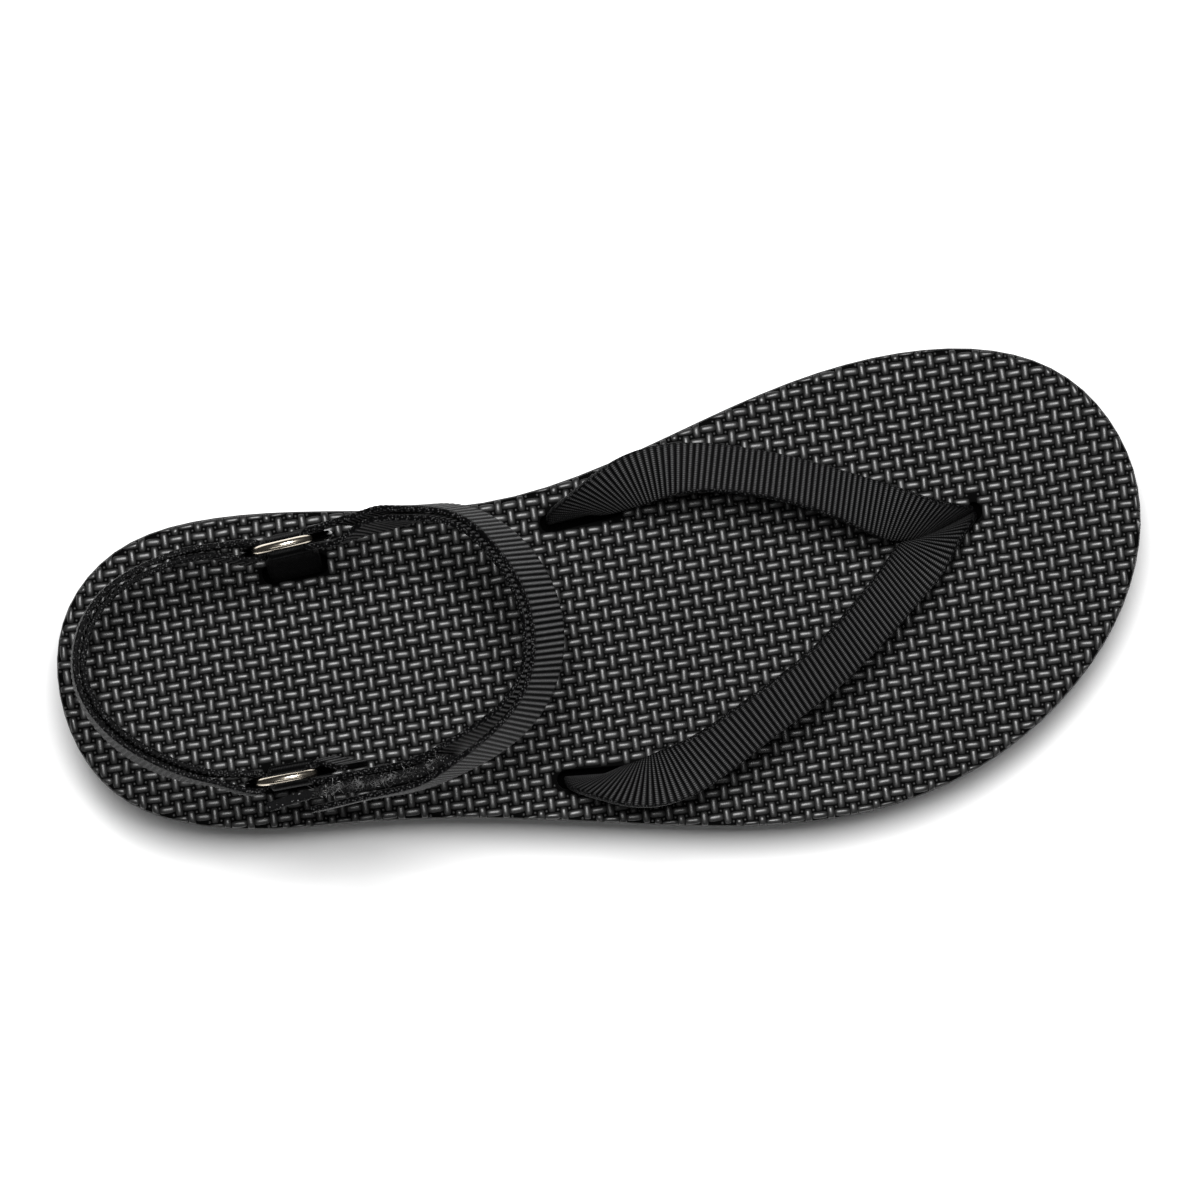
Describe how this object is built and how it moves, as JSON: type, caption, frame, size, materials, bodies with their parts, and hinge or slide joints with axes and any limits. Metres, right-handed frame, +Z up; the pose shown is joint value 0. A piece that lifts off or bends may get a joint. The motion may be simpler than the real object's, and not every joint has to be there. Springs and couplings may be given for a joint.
{
  "type": "flatform sandal",
  "caption": "Black flatform thong sandal with a woven-look footbed, ribbed webbing straps and an ankle strap on metal rings.",
  "frame": {"origin": "on the floor under the middle of the sole's bounding box", "axes": "+X towards the toe, +Y towards the medial (big-toe) side, +Z up"},
  "size_m": [0.26, 0.1062, 0.1116],
  "materials": {
    "outsole": "matt black rubber",
    "midsole": "matt black moulded foam",
    "footbed": "satin black foam with a moulded weave",
    "webbing": "black ribbed webbing",
    "closure_tape": "black hook-and-loop pile",
    "ring_metal": "polished pale gold plating"
  },
  "bodies": {
    "root": {"outsole": "outsole", "midsole": "midsole", "footbed": "footbed", "thong_strap": "webbing", "anchor_strap_medial": "webbing", "anchor_strap_lateral": "webbing", "heel_strap": "webbing", "instep_strap": "webbing", "closure_tape": "closure_tape", "ring_medial": "ring_metal", "ring_lateral": "ring_metal"}
  },
  "joints": []
}
